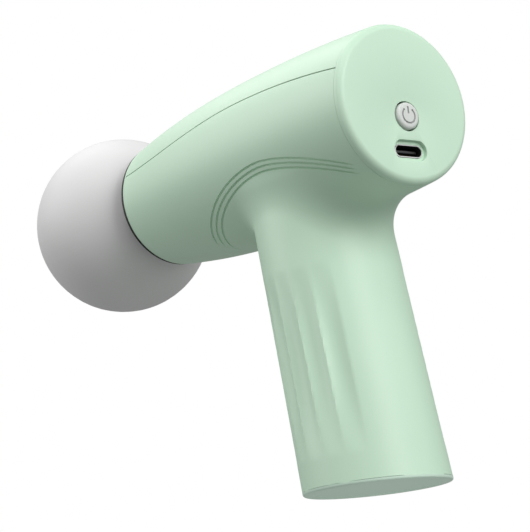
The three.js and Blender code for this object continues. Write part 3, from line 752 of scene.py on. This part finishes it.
def makeButton():
    face, back, edge = buttonLow.x, buttonHigh.x, button["edge"]
    shoulder = back - button["flangeDepth"]
    profile = [(0, face), *arcOf(button["radius"] - edge, face + edge, edge, -90, 0, 6),
               (button["radius"], shoulder), (button["flange"], shoulder), (button["flange"], back), (0, back)]
    piece = turnOut("powerButton", profile, (0, buttonZ), segments=96)
    angles = [math.radians(a) for a in steps(button["openDeg"], 360 - button["openDeg"], 60)]
    ringLine = [(button["signR"] * math.sin(a), button["signR"] * math.cos(a)) for a in angles]
    combine(piece, signWire(ringLine), solver="EXACT")
    combine(piece, signWire([(0, z) for z in steps(button["barTop"], button["barEnd"], 4)]), solver="EXACT")
    finishFaces(piece, 30)
    # The flange behind the hole, beyond the cap's radius, takes black plastic: painted shade in the gap round
    # the button.
    for finish in ("buttonPlastic", "signGrey", "blackPlastic"):
        piece.data.materials.append(finishes[finish])
    for side in piece.data.polygons:
        middle = side.center / mm
        out = math.hypot(middle.y, middle.z - buttonZ)
        inSign = out < button["barTop"] + button["line"] and face + 0.03 < middle.x < face + 0.5
        side.material_index = 2 if out > button["radius"] + 0.05 else 1 if inSign else 0
    return piece


handOver(makeButton(), "button", "power_button", "buttonPlastic")

# Charging socket: a drawn steel shell, and a tongue with its gold contacts
socket = {"wall": 0.22, "lip": 0.1, "contacts": 12, "pitch": 0.5}


def makeSocket():
    wide, high = usbHigh.y - usbLow.y, usbHigh.z - usbLow.z
    front, back, wall = usbLow.x, usbHigh.x, socket["wall"]
    piece = slotBar("usbShell", wide, high, front, back, usbZ, 14)
    core = slotBar("usbCore", wide - 2 * wall, high - 2 * wall, front - 1, back - wall, usbZ, 14)
    combine(piece, core, solver="EXACT")
    roundEdges(piece, lambda point: abs(point.x - front) < 0.01, socket["lip"], 2)
    finishFaces(piece, 40)
    piece.data.materials.append(finishes["brightSteel"])
    piece.data.materials.append(finishes["blackPlastic"])
    # Inner walls deeper than 0.35 mm from the front take black plastic: painted shade inside the steel shell.
    for face in piece.data.polygons:
        middle = face.center / mm
        inner = abs(middle.y) < wide / 2 - 0.6 * wall and abs(middle.z - usbZ) < high / 2 - 0.6 * wall
        face.material_index = 1 if inner and middle.x > front + 0.35 else 0
    return piece


def makeTongue():
    low, high = boxOf("usb_tongue")
    deselectAll()
    bpy.ops.mesh.primitive_cube_add(size=1, location=tuple((low + high) / 2 * mm))
    piece = nameIt("usbTongue")
    piece.scale = tuple((high - low) * mm)
    bakePlace(piece)
    editAll(piece)
    bpy.ops.mesh.bevel(offset=0.12 * mm, segments=2, affect="EDGES")
    leaveEdit()
    finishFaces(piece)
    piece.data.materials.append(finishes["blackPlastic"])
    piece.data.materials.append(finishes["goldPlate"])
    strips = [piece]
    for side in (1, -1):
        for i in range(socket["contacts"]):
            y = (i - (socket["contacts"] - 1) / 2) * socket["pitch"]
            z = (low.z + high.z) / 2 + side * ((high.z - low.z) / 2 + 0.01)
            bpy.ops.mesh.primitive_cube_add(size=1, location=((low.x + 2.1) * mm, y * mm, z * mm))
            strip = nameIt("contact")
            strip.scale = (1.8 * mm, 0.25 * mm, 0.06 * mm)
            bakePlace(strip)
            strip.data.materials.append(finishes["blackPlastic"])
            strip.data.materials.append(finishes["goldPlate"])
            for face in strip.data.polygons:
                face.material_index = 1
            strips.append(strip)
    deselectAll()
    for part in strips:
        part.select_set(True)
    bpy.context.view_layer.objects.active = piece
    bpy.ops.object.join()
    return piece


handOver(makeSocket(), "housing", "usb_shell", "brightSteel")
handOver(makeTongue(), "housing", "usb_tongue", "blackPlastic")

# Ball head: a hollow ball, its hub with the stem, and the O-ring that holds it in the piston
head = {"wall": 2.0, "opening": 8.25, "lip": 0.5, "stem": 4.3, "stemStart": 55.0, "grooveX": 60.0,
        "grooveWide": 2.2, "grooveR": 3.2, "bore": 4.6}


def ballProfile(radius, fromDeg, toDeg, count):
    return [(radius * math.sin(math.radians(a)), ballX - radius * math.cos(math.radians(a)))
            for a in steps(fromDeg, toDeg, count)]


def makeBall():
    inner, lip = ballR - head["wall"], head["lip"]
    outerStart = math.degrees(math.asin((head["opening"] + lip) / ballR))
    innerStart = math.degrees(math.asin(head["opening"] / inner))
    outside = ballProfile(ballR, outerStart, 180, 90)
    rimX = ballX - math.sqrt(ballR ** 2 - head["opening"] ** 2)
    inside = ballProfile(inner, 180, innerStart, 40)
    outside[-1] = (0, ballX + ballR)
    inside[0] = (0, ballX + inner)
    outsideBall = turnOut("massageBall", [(0, outside[0][1]), *outside], (0, axisZ), segments=160)
    hollowBall = turnOut("ballHollow", [*inside, (0, inside[-1][1])], (0, axisZ), segments=96)
    combine(outsideBall, hollowBall, solver="EXACT")
    rim = [(head["opening"] + lip, outside[0][1] - 1), (head["opening"] + lip, outside[0][1] + 0.02),
           (head["opening"] + 0.15, rimX + 0.55), (head["opening"], rimX + 0.9), (head["opening"], rimX + 6)]
    mouth = turnOut("ballMouth", rim, (0, axisZ), segments=160)
    combine(outsideBall, mouth, solver="EXACT")
    return finishFaces(outsideBall, 30)


def makeHub():
    plug, stem = head["opening"] - 0.2, head["stem"]
    outer = ballR - head["wall"] - 0.5
    plugX = ballX - math.sqrt(ballR ** 2 - plug ** 2)
    lead = head["stemStart"]
    grooveEnd = head["grooveX"] + head["grooveWide"]
    dish = ballProfile(outer, math.degrees(math.asin(plug / outer)), 38, 8)
    back = ballProfile(outer - 2, 34, 8, 8)
    profile = [(0, lead), (stem - 0.9, lead), (stem, lead + 0.9), (stem, head["grooveX"]),
               (head["grooveR"], head["grooveX"]), (head["grooveR"], grooveEnd), (stem, grooveEnd),
               (stem, plugX - 0.4), (stem + 0.5, plugX), (plug - 0.3, plugX), (plug, plugX + 0.3),
               *dish, *back, (0, ballX - outer + 2)]
    return turnOut("ballHub", profile, (0, axisZ), segments=96)


def makeORing():
    middle = head["grooveX"] + head["grooveWide"] / 2
    thick = (head["bore"] - 0.05 - head["grooveR"]) / 2
    centreR = head["grooveR"] + thick
    profile = arcOf(centreR, middle, thick, 0, 360, 16)
    profile[-1] = profile[0]
    return turnOut("stemORing", profile, (0, axisZ), segments=64)


handOver(makeBall(), "massage_head", "massage_ball", "ballPlastic")
handOver(makeHub(), "massage_head", "ball_core", "framePlastic")
handOver(makeORing(), "massage_head", "stem_o_ring", "blackRubber")

# CAD pieces that stay as they are, each with its own finish
kept = {
    "aluminium": ["piston_rod", "motor_base", "smoothing_capacitor"],
    "framePlastic": ["yoke", "drive_frame", "cell_holder_lower", "cell_holder_upper"],
    "steel": ["rod_cross_pin", "crank_disc", "crank_pin", "motor_shaft", "rotor_can", "motor_bearing_outer",
              "motor_bearing_inner", "motor_screw_1", "motor_screw_2", "motor_screw_3", "board_screw_left",
              "board_screw_right", "cell_strip_lower", "cell_strip_upper"],
    "stackedSteel": ["stator_core"],
    "copperWire": ["stator_windings"],
    "bronze": ["crank_roller", "rear_bushing", "front_bushing"],
    "blackRubber": ["rear_damper", "front_damper", "battery_lead_black", "motor_lead"],
    "redSleeve": ["battery_lead_red"],
    "chipEpoxy": ["controller_chip", "mosfet_1", "mosfet_2", "mosfet_3", "magnet_ring"],
    "blackPlastic": ["tact_plunger", "tact_switch"],
    "whiteNylon": ["battery_connector"],
    "solderMask": ["control_board"],
    "cellSleeve": ["battery_cell_1", "battery_cell_2", "battery_cell_3"],
    "greyFoam": ["battery_foam_pad"],
}
for finish, nodes in kept.items():
    for node in nodes:
        for materialSlot in frame["nodes"][node].material_slots:
            materialSlot.material = finishes[finish]
print("CAD pieces finished:", sum(len(nodes) for nodes in kept.values()))

# Camera: below the base's plane, looking up at the back and the left side
camera = {
    "place": (-429.4, 364.4, -53.6), "aim": (21.74, 11.59, 63.03), "roll": -6.32, "lens": 148.9, "sensor": 36,
}


def makeCamera():
    data = bpy.data.cameras.new("camera")
    data.lens = camera["lens"]
    data.sensor_width = camera["sensor"]
    data.clip_start = 0.01
    data.clip_end = 20
    eye = bpy.data.objects.new("camera", data)
    bpy.context.collection.objects.link(eye)
    place, aim = Vector(camera["place"]) * mm, Vector(camera["aim"]) * mm
    look = (aim - place).normalized()
    right = look.cross(Vector((0, 0, 1))).normalized()
    up = right.cross(look)
    roll = math.radians(camera["roll"])
    turnedRight = right * math.cos(roll) + up * math.sin(roll)
    turnedUp = up * math.cos(roll) - right * math.sin(roll)
    turn = Matrix((turnedRight, turnedUp, -look)).transposed()
    eye.matrix_world = Matrix.Translation(place) @ turn.to_4x4()
    bpy.context.scene.camera = eye


makeCamera()

# Studio: soft boxes, a pale sky, and a floor that is seen from above only
lights = {
    "topLeft": {"turn": 120, "rise": 55, "power": 3.2},
    "topFront": {"turn": 0, "rise": 55, "power": 2.1},
    "frontLeft": {"turn": 45, "rise": 25, "power": 2.8},
    "rear": {"turn": 180, "rise": 25, "power": 4.7},
    "rearRight": {"turn": 225, "rise": 25, "power": 1.25},
}
lightSize, lightDistance = 0.55, 0.9
baseLight = {"place": (0.0, 0.0, -0.055), "size": 0.06, "power": 0.0092}
lightAim = Vector((20, 0, 70)) * mm
studio = {
    "sky": (0.93, 0.96, 0.94), "skyStrength": 0.324, "backdrop": 1.0,
    "floor": (0.5, 0.505, 0.5), "floorGlow": 0.42, "floorSize": 12.0,
}


def addLight(name, place, size, power):
    data = bpy.data.lights.new(name, "AREA")
    data.shape = "SQUARE"
    data.size = size
    data.energy = power
    lamp = bpy.data.objects.new(name, data)
    bpy.context.collection.objects.link(lamp)
    lamp.location = place
    lamp.rotation_euler = (lightAim - Vector(place)).to_track_quat("-Z", "Y").to_euler()
    return lamp


def makeLights():
    for name, values in lights.items():
        turn, rise = math.radians(values["turn"]), math.radians(values["rise"])
        towards = Vector((math.cos(rise) * math.cos(turn), math.cos(rise) * math.sin(turn), math.sin(rise)))
        addLight(name, lightAim + towards * lightDistance, lightSize, values["power"])
    addLight("base", **baseLight).visible_camera = False     # lifts the underside, unseen itself


def makeSky():
    world = bpy.data.worlds.new("studioSky")
    bpy.context.scene.world = world
    world.use_nodes = True
    tree = world.node_tree
    glow = tree.nodes["Background"]
    glow.inputs["Color"].default_value = (*studio["sky"], 1)
    glow.inputs["Strength"].default_value = studio["skyStrength"]
    seen = addNode(tree, "ShaderNodeBackground")
    seen.inputs["Color"].default_value = (1, 1, 1, 1)
    seen.inputs["Strength"].default_value = studio["backdrop"]
    path = addNode(tree, "ShaderNodeLightPath")
    mix = addNode(tree, "ShaderNodeMixShader")
    tree.links.new(path.outputs["Is Camera Ray"], mix.inputs[0])
    tree.links.new(glow.outputs[0], mix.inputs[1])
    tree.links.new(seen.outputs[0], mix.inputs[2])
    tree.links.new(mix.outputs[0], tree.nodes["World Output"].inputs["Surface"])


def makeFloor():
    deselectAll()
    bpy.ops.mesh.primitive_plane_add(size=studio["floorSize"], location=(0, 0, -0.1 * mm))
    floor = nameIt("floor")
    bakePlace(floor)
    material, tree, shader = newFinish("floorPaper")
    shader.inputs["Base Color"].default_value = (*studio["floor"], 1)
    shader.inputs["Roughness"].default_value = 0.9
    shader.inputs["Emission Color"].default_value = (1, 1, 1, 1)
    shader.inputs["Emission Strength"].default_value = studio["floorGlow"]
    clear = addNode(tree, "ShaderNodeBsdfTransparent")
    mix = addNode(tree, "ShaderNodeMixShader")
    path = addNode(tree, "ShaderNodeLightPath")
    side = addNode(tree, "ShaderNodeNewGeometry")
    front = addNode(tree, "ShaderNodeMath", operation="SUBTRACT", use_clamp=True)
    tree.links.new(path.outputs["Is Camera Ray"], front.inputs[0])
    tree.links.new(side.outputs["Backfacing"], front.inputs[1])
    tree.links.new(front.outputs[0], mix.inputs[0])
    tree.links.new(clear.outputs[0], mix.inputs[1])
    tree.links.new(shader.outputs[0], mix.inputs[2])
    tree.links.new(mix.outputs[0], tree.nodes["Material Output"].inputs["Surface"])
    floor.data.materials.append(material)


makeLights()
makeSky()
makeFloor()
bpy.context.scene.view_settings.view_transform = "Standard"
